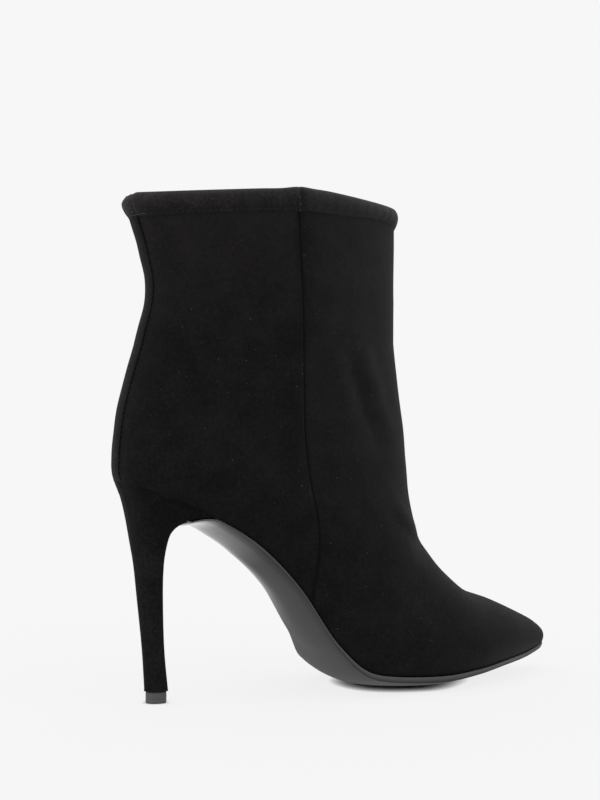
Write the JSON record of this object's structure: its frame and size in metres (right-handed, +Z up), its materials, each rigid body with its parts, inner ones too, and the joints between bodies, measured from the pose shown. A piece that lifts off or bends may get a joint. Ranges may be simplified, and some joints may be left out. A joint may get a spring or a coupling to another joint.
{
  "type": "heeled ankle boot",
  "caption": "Right ankle boot in soft suede with a pointed toe, wide pull-on shaft, folded collar cuff, thin leather sole and slim covered stiletto heel.",
  "frame": {"origin": "middle of the boot's box on the floor", "axes": "+X towards the outer side of the foot, +Y towards the toe, +Z up"},
  "size_m": [0.083, 0.2352, 0.2303],
  "materials": {
    "upper_suede": "black suede, short nap",
    "cuff_suede": "black suede, folded and stitched",
    "strip_suede": "black suede strip",
    "insole_cloth": "matte sock lining",
    "sole_leather": "dark grey smooth sole leather, satin",
    "heel_suede": "black suede cover over the heel",
    "top_piece_rubber": "dark grey hard rubber"
  },
  "bodies": {
    "root": {"upper": "upper_suede", "collar_cuff": "cuff_suede", "back_strip": "strip_suede", "insole": "insole_cloth", "outsole": "sole_leather", "heel": "heel_suede", "top_piece": "top_piece_rubber"}
  },
  "joints": []
}
